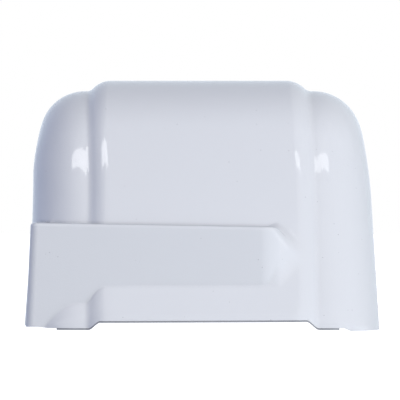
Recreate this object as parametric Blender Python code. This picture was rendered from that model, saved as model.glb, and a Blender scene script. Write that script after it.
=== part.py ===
"""Fence post cap: a vacuum-formed shell over a square post, carried by a steel bridge on the post's head.

Metres, +Z up. The origin is where the post's head meets the pad, on the post's axis. X runs across the front
and the front faces -Y. The pieces are drawn with the cap's base at height 0, then the whole cap is lowered
onto the origin.
"""

import math

import bmesh
import bpy
from mathutils import Vector

# The shell's sheet and the gap kept between neighbouring pieces.
SHEET = 0.003
GAP = 0.0003

# The shell's overall size.
HALF_WIDTH = 0.1765
SIDE_DRAFT = 0.03
LEFT_HALF_WIDTH = 0.1750
LEFT_DRAFT = 0.045
RIGHT_LEAN = (0.0034, 0.130, 0.205)
LEFT_LEAN = (0.0055, 0.150, 0.205)
CROWN_SHIFT = -0.0020
CROWN_START = 0.120
CORNER_RADIUS = 0.057
SHOULDER_RADIUS = 0.048

# Its side profile: a round crown with straight flanks that lean back, upright at the foot.
FLANK_ANGLE = math.atan(0.62)
WING_TOP = 0.2373
WING_RADIUS = 0.100
SKIRT_TOP = 0.005
SKIRT_RADIUS = 0.006

# The raised band across the middle.
BAND_RISE = 0.0107
BAND_RADIUS = WING_RADIUS + 0.0056
BAND_HALF_WIDTH = 0.1113
BAND_SIDE = 0.0012
BAND_SHIFT = -0.0032
LEFT_WALL = (math.radians(56.0), 0.010)
RIGHT_WALL = (math.radians(45.0), 0.007)
BAND_ROOT_RADIUS = 0.003
BAND_TRIM = 0.0076
BAND_TRIM_SLOPE = 0.004
LEFT_TRIM_CURVE = (0.098, 0.110)
RIGHT_TRIM_CURVE = (0.1025, 0.1155)
LEG_TRIM = 0.0010
LEG_TRIM_CURVE = (0.149, 0.160)
LEG_TRIM_BACK = (-0.120, -0.090)
RIGHT_DROP = 0.003
RIGHT_DROP_CURVE = (0.139, 0.147)

# The box-shaped bulge, low on the front and flush with the left side.
BOX_FACE = 0.1870
BOX_FACE_HEIGHT = 0.0420
BOX_FACE_DRAFT = 0.03
BOX_TOP = 0.0999
BOX_TOP_SLOPE = 0.017
BOX_INSET = 0.0033
BOX_END = 0.069
BOX_TOP_END = 0.074
BOX_BURIED_END = 0.105
BOX_EDGE_RADIUS = 0.008
BOX_TOP_RADIUS = 0.003
BOX_ROOT_RADIUS = 0.0004
RAMP_SLOPE = math.radians(38.0)
RAMP_EDGE_RADIUS = 0.0065
RAMP_ROOT_RADIUS = 0.009
RAMP_ROOT_CURVE = (0.064, 0.078)

# The ray origins that the shell is sampled from lie on a spine along the base.
SPINE_HALF = 0.120
REACH = 0.204
FAR = 0.5
BISECTIONS = 44

# Where the rays start along the spine: over the band's walls at both ends, and closer over the box's ramp.
WALL_STATIONS = (0.097, 0.100, 0.103, 0.1065, 0.110, 0.1135, 0.1165, SPINE_HALF)
MIDDLE_STATIONS = (-0.050, 0.0, 0.048, 0.060, 0.067, 0.074, 0.081, 0.089)

# Where rays fan out around the ends, in degrees from the front or the back to the side.
CORNER_TURNS = (3, 5.4, 7, 11, 15, 19, 24, 34, 60, 90)
BOX_CORNER_TURNS = (4, 8, 11, 12.5, 13.5, 14.5, 15.5, 17, 20, 23, 27, 32, 38, 60, 90)

# Heights that the rays reach: below the box where the leg and the skirt turn, and up the box's face.
LOW_HEIGHTS = (0.005, 0.013, 0.021, 0.026, 0.034, 0.0425)
FACE_HEIGHTS = (0.054, 0.078)
CROWN_STEPS = 9
FIRST_CROWN_STEP = 0.03

# The square post, and the bridge that stands on its head.
POST_HEAD = 0.140
PAD_THICKNESS = 0.003
PAD_HALF_LENGTH = 0.090
PAD_HALF_WIDTH = 0.056
BRIDGE_SHEET = 0.003
BRIDGE_HALF_LENGTH = 0.163
BRIDGE_HALF_WIDTH = 0.060
BRIDGE_BEND = 0.007
BRIDGE_BEND_STEPS = 6
BRIDGE_FOOT = 0.022
BRIDGE_SEAT = POST_HEAD + PAD_THICKNESS + GAP
BRIDGE_TOP = BRIDGE_SEAT + BRIDGE_SHEET
WINDOW_HALF_LENGTH = 0.036
WINDOW_HALF_WIDTH = 0.034

POST_SCREW_X = 0.062
POST_SCREW_Y = 0.044
POST_SCREW_RADIUS = 0.0038
POST_SCREW_DEPTH = 0.040
POST_HOLE_RADIUS = 0.0046
POST_WASHER_RADIUS = 0.010
POST_WASHER_THICKNESS = 0.0016
POST_HEAD_RADIUS = 0.0075
POST_HEAD_THICKNESS = 0.0053

# The four fixings through the side walls. Along a fixing's own axis, 0 is the wall's outer face.
FIXING_HEIGHT = 0.040
FIXING_Y = 0.038
WALL_HOLE_RADIUS = 0.0065
CUP_RADIUS = WALL_HOLE_RADIUS - GAP
CUP_FLANGE_RADIUS = 0.008
CUP_FLANGE_TOP = 0.0013
CUP_FLOOR_TOP = -0.0017
CUP_BOTTOM = -SHEET + 0.0001
CUP_RECESS_RADIUS = 0.0049
SCREW_RADIUS = 0.0024
SCREW_HOLE_RADIUS = 0.0029
SCREW_HEAD_RADIUS = 0.0045
SCREW_HEAD_TOP = 0.0009
SCREW_LENGTH = 0.0215
LEG_HOLE_RADIUS = 0.0036
SPACER_RADIUS = 0.0058
NUT_HALF = 0.0050
NUT_THICKNESS = 0.0036

LID_THICKNESS = 0.0016
LID_TAB_HALF = 0.0035
LID_TAB_FOOT = 0.0065
LID_TAB_TOP = 0.0097
LID_HINGE_HEIGHT = 0.010
LID_UNDERSIDE = CUP_FLANGE_TOP + GAP

# The edge seal: a leg inside the wall and a foot under the trimmed edge.
SEAL_THICKNESS = 0.002
SEAL_FOOT = 0.0014
SEAL_HEIGHT = 0.005
SEAL_SETBACK = 0.0004
SEAL_WALL_GAP = 0.0010
SEAL_LEFT_END = (-0.141, -0.136, -0.131, -0.127, -0.1235)
SEAL_RIGHT_END = (0.1235, 0.127, 0.131, 0.136)

ROUND_STEPS = 20


def clear_scene():
    for item in list(bpy.data.objects):
        bpy.data.objects.remove(item, do_unlink=True)


def material(name, colour, roughness, metallic):
    made = bpy.data.materials.new(name)
    made.use_nodes = True
    shader = made.node_tree.nodes["Principled BSDF"]
    shader.inputs["Base Color"].default_value = (*colour, 1.0)
    shader.inputs["Roughness"].default_value = roughness
    shader.inputs["Metallic"].default_value = metallic
    return made


def add_object(name, mesh, look, parent=None, location=(0.0, 0.0, 0.0)):
    if not mesh.materials:
        mesh.materials.append(look)
    made = bpy.data.objects.new(name, mesh)
    bpy.context.scene.collection.objects.link(made)
    made.parent = parent
    made.location = location
    return made


def add_empty(name, location, rotation):
    made = bpy.data.objects.new(name, None)
    bpy.context.scene.collection.objects.link(made)
    made.location = location
    made.rotation_euler = rotation
    return made


# ---- the shell's form: each function is positive inside the form and gives the depth below its surface ----


def smoothstep(start, end, value):
    share = min(max((value - start) / (end - start), 0.0), 1.0)
    return share * share * (3.0 - 2.0 * share)


def round_both(first, second, radius):
    """Inside both forms, with the outer edge between them rounded."""
    corner = math.hypot(max(radius - first, 0.0), max(radius - second, 0.0))
    return max(radius, min(first, second)) - corner


def round_either(first, second, radius):
    """Inside either form, with the inner corner between them rounded."""
    return -round_both(-first, -second, radius)


def lean(rule, z):
    """How far a side leans in by a height, from its full lean and the heights it starts and ends at."""
    full, start, end = rule
    return full * smoothstep(start, end, z)


def side_half_width(x, z):
    """The right side leans in all the way up. The left side is upright above the box."""
    if x < 0.0:
        return LEFT_HALF_WIDTH - LEFT_DRAFT * min(z, BOX_TOP) - lean(LEFT_LEAN, z)
    return HALF_WIDTH - SIDE_DRAFT * z - lean(RIGHT_LEAN, z)


def flank_depth(radius, centre, y, z):
    """Depth below a side profile: an arc on top, and a straight flank and an upright foot below it."""
    out, up = abs(y), z - centre
    if up > out * math.tan(FLANK_ANGLE):
        depth = radius - math.hypot(out, up)
    else:
        depth = radius - out * math.cos(FLANK_ANGLE) - up * math.sin(FLANK_ANGLE)
    foot = flank_half_depth(radius, centre, SKIRT_TOP)
    return round_both(depth, foot - out, SKIRT_RADIUS)


def flank_half_depth(radius, centre, z):
    return (radius - (z - centre) * math.sin(FLANK_ANGLE)) / math.cos(FLANK_ANGLE)


def wing_depth(y, z):
    return flank_depth(WING_RADIUS, WING_TOP - WING_RADIUS, y, z)


def band_depth(x, y, z):
    crown = flank_depth(BAND_RADIUS, WING_TOP + BAND_RISE - BAND_RADIUS, y, z)
    slope, radius = LEFT_WALL if x < 0.0 else RIGHT_WALL
    wall = (BAND_HALF_WIDTH - abs(x)) * math.sin(slope) + min(wing_depth(y, z), 0.0) * math.cos(slope)
    return round_both(crown, wall, radius)


def box_top(x):
    return BOX_TOP - BOX_TOP_SLOPE * x


def box_depth(x, y, z):
    top = box_top(x)
    face = y + BOX_FACE - BOX_FACE_DRAFT * (z - BOX_FACE_HEIGHT)
    ramp = (BOX_END - x) * math.sin(RAMP_SLOPE) + face * math.cos(RAMP_SLOPE)
    hip = (BOX_TOP_END - x + top - z) * math.sqrt(0.5)
    front = round_both(face, ramp, RAMP_EDGE_RADIUS)
    end = round_both(front, side_half_width(-1.0, z) - BOX_INSET + x, BOX_EDGE_RADIUS)
    body = round_both(end, hip, BOX_EDGE_RADIUS)
    buried = min(-SPINE_HALF * 0.5 - y, BOX_BURIED_END - x)
    return min(round_both(body, top - z, BOX_TOP_RADIUS), buried)


def shell_depth(point):
    x, y, z = point
    rise = smoothstep(CROWN_START, WING_TOP, z)
    across = x - CROWN_SHIFT * rise
    radius = CORNER_RADIUS + (SHOULDER_RADIUS - CORNER_RADIUS) * rise
    loaf = round_both(side_half_width(x, z) - abs(across), wing_depth(y, z), radius)
    raised = round_either(loaf, band_depth(x - BAND_SIDE - BAND_SHIFT * rise, y, z), BAND_ROOT_RADIUS)
    root = BOX_ROOT_RADIUS + (RAMP_ROOT_RADIUS - BOX_ROOT_RADIUS) * smoothstep(*RAMP_ROOT_CURVE, x)
    return round_either(raised, box_depth(x, y, z), root)


def trim_height(x, y):
    """Height of the trimmed edge: raised under the band, and a little under the box's leg."""
    curve = LEFT_TRIM_CURVE if x < 0.0 else RIGHT_TRIM_CURVE
    band = (BAND_TRIM + BAND_TRIM_SLOPE * x) * (1.0 - smoothstep(*curve, abs(x)))
    leg = LEG_TRIM * smoothstep(*LEG_TRIM_CURVE, -x) * (1.0 - smoothstep(*LEG_TRIM_BACK, y))
    return band + leg - RIGHT_DROP * smoothstep(*RIGHT_DROP_CURVE, x)


def trimmed_origin(x, flat):
    """Start of the rays at a place on the spine, level with the trimmed edge that they lead to."""
    origin = Vector((x, 0.0, 0.0))
    foot = origin + flat * reach_of(origin, flat, 0.0)
    origin.z = trim_height(foot.x, foot.y)
    return origin


def reach_of(origin, direction, depth):
    """How far along a ray from inside the form its depth falls to the one asked for."""
    near, far = 0.0, FAR
    for _ in range(BISECTIONS):
        middle = (near + far) / 2.0
        if shell_depth(origin + direction * middle) > depth:
            near = middle
        else:
            far = middle
    return near


def spine_positions():
    left = [-x for x in reversed(WALL_STATIONS)]
    return [*left, *MIDDLE_STATIONS, *WALL_STATIONS]


def stations():
    """Ray origins and horizontal directions once around the cap, counter-clockwise from the front left."""
    across = spine_positions()
    found = [(x, -90.0) for x in across]
    found += [(SPINE_HALF, turn - 90.0) for turn in CORNER_TURNS]
    found += [(SPINE_HALF, 90.0 - turn) for turn in reversed(CORNER_TURNS[:-1])]
    found += [(x, 90.0) for x in reversed(across)]
    found += [(-SPINE_HALF, 90.0 + turn) for turn in CORNER_TURNS]
    found += [(-SPINE_HALF, 270.0 - turn) for turn in reversed(BOX_CORNER_TURNS[:-1])]
    return found


def ray_elevations(top):
    """Angles above the base, closer together where the form turns. The box's top is at the height given."""
    band_centre = WING_TOP + BAND_RISE - BAND_RADIUS
    band_back = flank_half_depth(BAND_RADIUS, band_centre, top)
    wing_back = flank_half_depth(WING_RADIUS, WING_TOP - WING_RADIUS, top)
    turns = [(flank_half_depth(BAND_RADIUS, band_centre, z), z) for z in LOW_HEIGHTS]
    turns += [(BOX_FACE, z) for z in (*FACE_HEIGHTS, top - BOX_TOP_RADIUS)]
    eased = BOX_TOP_RADIUS * (1.0 - math.sqrt(0.5))
    turns.append((BOX_FACE - eased, top - eased))
    shelf = (BOX_FACE - BOX_TOP_RADIUS, band_back, (band_back + wing_back) / 2.0, wing_back)
    turns += [(depth, top) for depth in shelf]
    angles = [0.0] + [math.atan2(z, depth) for depth, z in turns]
    start = angles[-1] + FIRST_CROWN_STEP
    rise = math.pi / 2.0 - start
    return angles + [start + rise * step / CROWN_STEPS for step in range(CROWN_STEPS)]


def shell_layer(form, depth):
    """One face of the sheet, as rows of vertices from the trimmed edge up, and its ridge along the crown."""
    columns = []
    for x, bearing in stations():
        flat = Vector((math.cos(math.radians(bearing)), math.sin(math.radians(bearing)), 0.0))
        origin = trimmed_origin(x, flat)
        width = reach_of(origin, flat, 0.0)
        column = []
        for elevation in ray_elevations(box_top(x)):
            slant = flat * (width * math.cos(elevation))
            slant.z = REACH * math.sin(elevation)
            slant.normalize()
            column.append(form.verts.new(origin + slant * reach_of(origin, slant, depth)))
        columns.append(column)
    rows = list(zip(*columns))
    up = Vector((0.0, 0.0, 1.0))
    ridge = []
    for x in spine_positions():
        origin = Vector((x, 0.0, 0.0))
        ridge.append(form.verts.new(origin + up * reach_of(origin, up, depth)))
    return rows, ridge


def shell_faces(form, rows, ridge, outward):
    """Quads between the rows, then the crown: strips to the ridge and a fan to each of its ends."""

    def face(*corners):
        form.faces.new(corners if outward else corners[::-1])

    count, across = len(rows[0]), len(ridge)
    back = across + 2 * len(CORNER_TURNS) - 1
    for lower, upper in zip(rows, rows[1:]):
        for i in range(count):
            j = (i + 1) % count
            face(lower[i], lower[j], upper[j], upper[i])
    last = rows[-1]
    backwards = ridge[::-1]
    for i in range(across - 1):
        face(last[i], last[i + 1], ridge[i + 1], ridge[i])
        face(last[back + i], last[back + i + 1], backwards[i + 1], backwards[i])
    for i in range(across - 1, back):
        face(last[i], last[i + 1], ridge[-1])
    for i in range(back + across - 1, count):
        face(last[i], last[(i + 1) % count], ridge[0])


def shell_mesh():
    form = bmesh.new()
    outer, outer_ridge = shell_layer(form, 0.0)
    inner, inner_ridge = shell_layer(form, SHEET)
    shell_faces(form, outer, outer_ridge, True)
    shell_faces(form, inner, inner_ridge, False)
    count = len(outer[0])
    for i in range(count):
        j = (i + 1) % count
        form.faces.new((outer[0][j], outer[0][i], inner[0][i], inner[0][j]))
    return finish_mesh(form, "cap_shell")


# ---- small shapes, each one closed body ----


def finish_mesh(form, name, smooth=True):
    bmesh.ops.recalc_face_normals(form, faces=form.faces)
    for face in form.faces:
        face.smooth = smooth
    mesh = bpy.data.meshes.new(name)
    form.to_mesh(mesh)
    form.free()
    return mesh


def turned_mesh(name, profile, is_ring):
    """A profile of (position along X, radius) turned about X. A ring's profile closes on itself."""
    form = bmesh.new()
    rings = []
    for along, radius in profile:
        if radius == 0.0:
            rings.append([form.verts.new((along, 0.0, 0.0))] * ROUND_STEPS)
            continue
        ring = []
        for step in range(ROUND_STEPS):
            angle = math.tau * step / ROUND_STEPS
            ring.append(form.verts.new((along, radius * math.cos(angle), radius * math.sin(angle))))
        rings.append(ring)
    pairs = list(zip(rings, rings[1:]))
    if is_ring:
        pairs.append((rings[-1], rings[0]))
    for first, second in pairs:
        for i in range(ROUND_STEPS):
            j = (i + 1) % ROUND_STEPS
            corners = dict.fromkeys((first[i], first[j], second[j], second[i]))
            form.faces.new(list(corners))
    return finish_mesh(form, name)


def slab_mesh(name, outline, thickness):
    """A flat outline of (y, z) points made thick along +X from 0."""
    form = bmesh.new()
    low = [form.verts.new((0.0, y, z)) for y, z in outline]
    high = [form.verts.new((thickness, y, z)) for y, z in outline]
    form.faces.new(low)
    form.faces.new(high[::-1])
    for i in range(len(outline)):
        j = (i + 1) % len(outline)
        form.faces.new((low[i], low[j], high[j], high[i]))
    return finish_mesh(form, name, smooth=False)


def tabbed_disc(radius):
    """A disc's outline with the hinge tab standing on its top edge."""
    start = math.asin(LID_TAB_HALF / radius)
    sweep = math.tau - 2.0 * start
    outline = []
    for step in range(ROUND_STEPS + 1):
        angle = start + sweep * step / ROUND_STEPS
        outline.append((radius * math.sin(angle), radius * math.cos(angle)))
    return outline + [(-LID_TAB_HALF, LID_TAB_TOP), (LID_TAB_HALF, LID_TAB_TOP)]


def hex_outline(radius):
    return [(radius * math.cos(math.tau * i / 6), radius * math.sin(math.tau * i / 6)) for i in range(6)]


def combine(target, tool, operation):
    """Applies a Boolean to target and removes the tool."""
    step = target.modifiers.new(operation.lower(), "BOOLEAN")
    step.operation = operation
    step.solver = "EXACT"
    step.object = tool
    tool.hide_render = True
    tool.display_type = "WIRE"
    bpy.context.view_layer.update()
    shaped = target.evaluated_get(bpy.context.evaluated_depsgraph_get())
    mesh = bpy.data.meshes.new_from_object(shaped)
    target.modifiers.clear()
    target.data = mesh
    bpy.data.objects.remove(tool, do_unlink=True)


def rod(radius, start, end):
    """A tool: a rod along X."""
    mesh = turned_mesh("tool", [(start, 0.0), (start, radius), (end, radius), (end, 0.0)], False)
    tool = bpy.data.objects.new("tool", mesh)
    bpy.context.scene.collection.objects.link(tool)
    return tool


def block(half_length, half_width, low, high):
    """A box centred over the post, between two heights."""
    form = bmesh.new()
    bmesh.ops.create_cube(form, size=2.0)
    for vert in form.verts:
        vert.co = (vert.co.x * half_length, vert.co.y * half_width, low if vert.co.z < 0.0 else high)
    tool = bpy.data.objects.new("tool", finish_mesh(form, "tool", smooth=False))
    bpy.context.scene.collection.objects.link(tool)
    return tool


def fixing_places():
    """Name, position on the wall's outer face and outward turn of the axis of each wall fixing."""
    for side, sign, turn, draft in (("left", -1.0, math.pi, LEFT_DRAFT), ("right", 1.0, 0.0, SIDE_DRAFT)):
        reach = side_half_width(sign, FIXING_HEIGHT)
        for end, y in (("front", -FIXING_Y), ("rear", FIXING_Y)):
            yield f"{side}_{end}", (sign * reach, y, FIXING_HEIGHT), (0.0, -math.atan(draft), turn)


def build_shell(look):
    shell = add_object("cap_shell", shell_mesh(), look)
    for _, place, rotation in fixing_places():
        drill = rod(WALL_HOLE_RADIUS, -3.0 * SHEET, 3.0 * SHEET)
        drill.location = place
        drill.rotation_euler = rotation
        combine(shell, drill, "DIFFERENCE")
    return shell


def seal_mesh(name, facing):
    """The edge seal along the front (facing -1) or the back (facing 1), following the trimmed edge."""
    inner = SHEET + SEAL_WALL_GAP
    section = (
        (SEAL_SETBACK, -GAP - SEAL_FOOT),
        (SEAL_SETBACK, -GAP),
        (inner, -GAP),
        (inner, SEAL_HEIGHT),
        (inner + SEAL_THICKNESS, SEAL_HEIGHT),
        (inner + SEAL_THICKNESS, -GAP - SEAL_FOOT),
    )
    form = bmesh.new()
    outward = Vector((0.0, facing, 0.0))
    loops = []
    for x in (*SEAL_LEFT_END, *spine_positions(), *SEAL_RIGHT_END):
        loop = []
        for depth, rise in section:
            height = trimmed_origin(x, outward).z + rise
            origin = Vector((x, 0.0, max(height, 0.0)))
            y = facing * reach_of(origin, outward, depth)
            loop.append(form.verts.new((x, y, height)))
        loops.append(loop)
    corners = len(section)
    for first, second in zip(loops, loops[1:]):
        for i in range(corners):
            j = (i + 1) % corners
            form.faces.new((first[i], first[j], second[j], second[i]))
    form.faces.new(loops[0])
    form.faces.new(loops[-1][::-1])
    return finish_mesh(form, name)


def build_seals(look):
    add_object("edge_seal_front", seal_mesh("edge_seal_front", -1.0), look)
    add_object("edge_seal_rear", seal_mesh("edge_seal_rear", 1.0), look)


def bridge_mesh():
    """A strip folded down at both ends, drawn as its side outline and made wide along Y."""
    outer, inner = [], []
    for sign in (1.0, -1.0):
        centre_x = BRIDGE_HALF_LENGTH - BRIDGE_BEND
        centre_z = BRIDGE_TOP - BRIDGE_BEND
        arc_out, arc_in = [], []
        for step in range(BRIDGE_BEND_STEPS + 1):
            angle = math.pi / 2.0 * step / BRIDGE_BEND_STEPS
            for arc, radius in ((arc_out, BRIDGE_BEND), (arc_in, BRIDGE_BEND - BRIDGE_SHEET)):
                x = sign * (centre_x + radius * math.cos(angle))
                arc.append((x, centre_z + radius * math.sin(angle)))
        arc_out.insert(0, (sign * BRIDGE_HALF_LENGTH, BRIDGE_FOOT))
        arc_in.insert(0, (sign * (BRIDGE_HALF_LENGTH - BRIDGE_SHEET), BRIDGE_FOOT))
        outer += arc_out if sign > 0 else arc_out[::-1]
        inner += arc_in if sign > 0 else arc_in[::-1]
    outline = outer + inner[::-1]
    form = bmesh.new()
    near = [form.verts.new((x, -BRIDGE_HALF_WIDTH, z)) for x, z in outline]
    far = [form.verts.new((x, BRIDGE_HALF_WIDTH, z)) for x, z in outline]
    form.faces.new(near)
    form.faces.new(far[::-1])
    for i in range(len(outline)):
        j = (i + 1) % len(outline)
        form.faces.new((near[i], near[j], far[j], far[i]))
    return finish_mesh(form, "mount_bridge", smooth=False)


def post_screw_places():
    for side, x in (("left", -POST_SCREW_X), ("right", POST_SCREW_X)):
        for end, y in (("front", -POST_SCREW_Y), ("rear", POST_SCREW_Y)):
            yield f"{side}_{end}", x, y


def upright_drill(x, y, radius):
    drill = rod(radius, POST_HEAD / 2.0, 2.0 * POST_HEAD)
    drill.location = (x, y, 0.0)
    drill.rotation_euler = (0.0, -math.pi / 2.0, 0.0)
    return drill


def build_bridge(look):
    bridge = add_object("mount_bridge", bridge_mesh(), look)
    window = block(WINDOW_HALF_LENGTH, WINDOW_HALF_WIDTH, POST_HEAD, 2.0 * POST_HEAD)
    combine(bridge, window, "DIFFERENCE")
    for _, x, y in post_screw_places():
        combine(bridge, upright_drill(x, y, POST_HOLE_RADIUS), "DIFFERENCE")
    for _, place, rotation in fixing_places():
        drill = rod(LEG_HOLE_RADIUS, -SCREW_LENGTH, -SHEET)
        drill.location = place
        drill.rotation_euler = rotation
        combine(bridge, drill, "DIFFERENCE")


def build_head_pad(look):
    pad = block(PAD_HALF_LENGTH, PAD_HALF_WIDTH, POST_HEAD, POST_HEAD + PAD_THICKNESS)
    pad.name = "head_pad"
    pad.data.name = "head_pad"
    pad.data.materials.append(look)
    for _, x, y in post_screw_places():
        combine(pad, upright_drill(x, y, POST_HOLE_RADIUS), "DIFFERENCE")


def build_post_screws(steel):
    """Hex-head screws with washers. They are drawn along X and stand upright under an empty."""
    seat = GAP + POST_WASHER_THICKNESS
    washer = turned_mesh("post_washer", [
        (GAP, POST_HOLE_RADIUS),
        (GAP, POST_WASHER_RADIUS),
        (seat, POST_WASHER_RADIUS),
        (seat, POST_HOLE_RADIUS),
    ], True)
    under_head = seat + GAP
    tip = -under_head - POST_SCREW_DEPTH
    head = slab_mesh("post_screw", hex_outline(POST_HEAD_RADIUS), POST_HEAD_THICKNESS)
    for name, x, y in post_screw_places():
        stand = add_empty(f"post_screw_axis_{name}", (x, y, BRIDGE_TOP), (0.0, -math.pi / 2.0, 0.0))
        add_object(f"post_washer_{name}", washer, steel, stand)
        screw = add_object(f"post_screw_{name}", head.copy(), steel)
        combine(screw, rod(POST_SCREW_RADIUS, tip, POST_HEAD_THICKNESS / 2.0), "UNION")
        screw.parent = stand
        screw.location = (under_head, 0.0, 0.0)


def cup_mesh():
    return turned_mesh("screw_cup", [
        (CUP_BOTTOM, SCREW_HOLE_RADIUS),
        (CUP_BOTTOM, CUP_RADIUS),
        (GAP, CUP_RADIUS),
        (GAP, CUP_FLANGE_RADIUS),
        (CUP_FLANGE_TOP, CUP_FLANGE_RADIUS),
        (CUP_FLANGE_TOP, CUP_RECESS_RADIUS),
        (CUP_FLOOR_TOP, CUP_RECESS_RADIUS),
        (CUP_FLOOR_TOP, SCREW_HOLE_RADIUS),
    ], True)


def shell_screw_mesh():
    under_head = CUP_FLOOR_TOP + GAP
    return turned_mesh("shell_screw", [
        (-SCREW_LENGTH, 0.0),
        (-SCREW_LENGTH, SCREW_RADIUS / 2.0),
        (-SCREW_LENGTH + SCREW_RADIUS, SCREW_RADIUS),
        (under_head, SCREW_RADIUS),
        (under_head, SCREW_HEAD_RADIUS),
        (SCREW_HEAD_TOP - SCREW_RADIUS / 3.0, SCREW_HEAD_RADIUS),
        (SCREW_HEAD_TOP, SCREW_HEAD_RADIUS * 0.8),
        (SCREW_HEAD_TOP, 0.0),
    ], False)


def bush_mesh(side, leg_depth):
    """The bush between the shell's wall and the bridge's leg, which is that deep inside the wall's face."""
    start, end = -leg_depth + 2.0 * GAP, -SHEET - GAP
    return turned_mesh(f"wall_spacer_{side}", [
        (start, SCREW_HOLE_RADIUS),
        (start, SPACER_RADIUS),
        (end, SPACER_RADIUS),
        (end, SCREW_HOLE_RADIUS),
    ], True)


def build_fixings(plastic, nylon, steel):
    """Cup, screw, bush, nut and hinged lid for each fixing, drawn once and placed under four empties."""
    cup, screw = cup_mesh(), shell_screw_mesh()
    square = [(-NUT_HALF, -NUT_HALF), (NUT_HALF, -NUT_HALF), (NUT_HALF, NUT_HALF), (-NUT_HALF, NUT_HALF)]
    nut = slab_mesh("leg_nut", square, NUT_THICKNESS)
    half, foot = LID_TAB_HALF, LID_TAB_FOOT
    tab = [(-half, foot), (half, foot), (half, LID_TAB_TOP), (-half, LID_TAB_TOP)]
    disc = [(y, z - LID_HINGE_HEIGHT) for y, z in tabbed_disc(CUP_FLANGE_RADIUS)]
    lid = slab_mesh("screw_lid", disc, LID_THICKNESS)
    for name, place, rotation in fixing_places():
        leg_depth = abs(place[0]) - BRIDGE_HALF_LENGTH
        axis = add_empty(f"fixing_{name}", place, rotation)
        part = add_object(f"screw_cup_{name}", cup.copy(), plastic)
        tab_mesh = slab_mesh("tool", tab, CUP_FLANGE_TOP - GAP)
        tool = add_object("tool", tab_mesh, plastic, location=(GAP, 0.0, 0.0))
        combine(part, tool, "UNION")
        part.parent = axis
        add_object(f"shell_screw_{name}", screw, steel, axis)
        add_object(f"wall_spacer_{name}", bush_mesh(name, leg_depth), nylon, axis)
        part = add_object(f"leg_nut_{name}", nut.copy(), steel)
        combine(part, rod(SCREW_HOLE_RADIUS, -NUT_THICKNESS, 2.0 * NUT_THICKNESS), "DIFFERENCE")
        part.parent = axis
        part.location = (-leg_depth - BRIDGE_SHEET - 2.0 * GAP - NUT_THICKNESS, 0.0, 0.0)
        add_object(f"screw_lid_{name}", lid, plastic, axis, (LID_UNDERSIDE, 0.0, LID_HINGE_HEIGHT))


def stand_on_origin():
    """Hangs every piece and fixing from one empty, lowered so that the post's head is at the origin."""
    loose = [item for item in bpy.data.objects if item.parent is None]
    base = add_empty("cap_base", (0.0, 0.0, -POST_HEAD), (0.0, 0.0, 0.0))
    for item in loose:
        item.parent = base


def main():
    clear_scene()
    shell_white = material("gloss_white_abs", (0.80, 0.83, 0.88), 0.22, 0.0)
    cover_white = material("cover_white_plastic", (0.78, 0.80, 0.84), 0.35, 0.0)
    seal_black = material("black_rubber", (0.02, 0.02, 0.02), 0.75, 0.0)
    pad_black = material("pad_rubber", (0.03, 0.03, 0.03), 0.85, 0.0)
    galvanised = material("galvanised_steel", (0.55, 0.57, 0.58), 0.45, 1.0)
    zinc = material("zinc_steel", (0.62, 0.62, 0.60), 0.35, 1.0)
    nylon = material("natural_nylon", (0.80, 0.78, 0.70), 0.5, 0.0)
    build_shell(shell_white)
    build_seals(seal_black)
    build_bridge(galvanised)
    build_head_pad(pad_black)
    build_post_screws(zinc)
    build_fixings(cover_white, nylon, zinc)
    stand_on_origin()


main()
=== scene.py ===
"""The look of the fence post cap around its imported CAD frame: meshes, materials, studio and camera."""

import math

import bmesh
import bpy
import numpy as np
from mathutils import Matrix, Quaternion, Vector


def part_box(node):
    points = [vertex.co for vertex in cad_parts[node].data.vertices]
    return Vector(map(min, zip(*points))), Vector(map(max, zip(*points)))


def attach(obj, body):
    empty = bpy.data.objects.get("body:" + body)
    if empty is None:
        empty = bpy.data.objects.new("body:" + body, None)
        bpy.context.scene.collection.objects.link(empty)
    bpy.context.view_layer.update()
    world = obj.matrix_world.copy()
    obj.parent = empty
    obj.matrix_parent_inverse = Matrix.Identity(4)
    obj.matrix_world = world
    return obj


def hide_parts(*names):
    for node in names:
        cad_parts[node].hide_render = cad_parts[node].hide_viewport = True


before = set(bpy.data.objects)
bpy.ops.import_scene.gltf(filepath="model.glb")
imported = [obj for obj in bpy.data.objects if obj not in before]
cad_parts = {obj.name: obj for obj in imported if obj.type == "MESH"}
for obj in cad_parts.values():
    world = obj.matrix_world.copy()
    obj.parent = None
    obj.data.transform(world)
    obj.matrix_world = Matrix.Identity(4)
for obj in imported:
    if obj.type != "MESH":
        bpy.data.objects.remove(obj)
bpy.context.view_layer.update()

SHEET = 0.003
RIGHT_DROP = 0.003
shell_low, shell_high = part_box("cap_shell")

# Forms are drawn with the cap's base at height 0 and then lowered by this much, because the frame's
# origin is the head of the post.
BASE_HEIGHT = shell_low.z + RIGHT_DROP

# The shell's sides: how wide they stand, how much they lean in per metre up, how much further each leans
# and between which heights, and the radius that rounds each shoulder, low down and at the crown.
HALF_WIDTH = shell_high.x
SIDE_DRAFT = 0.03
LEFT_HALF_WIDTH = -shell_low.x
LEFT_DRAFT = 0.045
RIGHT_LEAN = (0.0034, 0.130, 0.205)
LEFT_LEAN = (0.0055, 0.150, 0.205)
CROWN_SHIFT = -0.0020
CROWN_START = 0.120
CORNER_RADIUS = 0.057
SHOULDER_RADIUS = 0.048

# Its side profile: a round crown with straight flanks that lean back, upright at the foot.
FLANK_ANGLE = math.atan(0.62)
BAND_RISE = 0.0107
WING_TOP = shell_high.z - BASE_HEIGHT - BAND_RISE
WING_RADIUS = 0.100
WING_CENTRE = WING_TOP - WING_RADIUS
SKIRT_TOP = 0.005
SKIRT_RADIUS = 0.006

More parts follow.
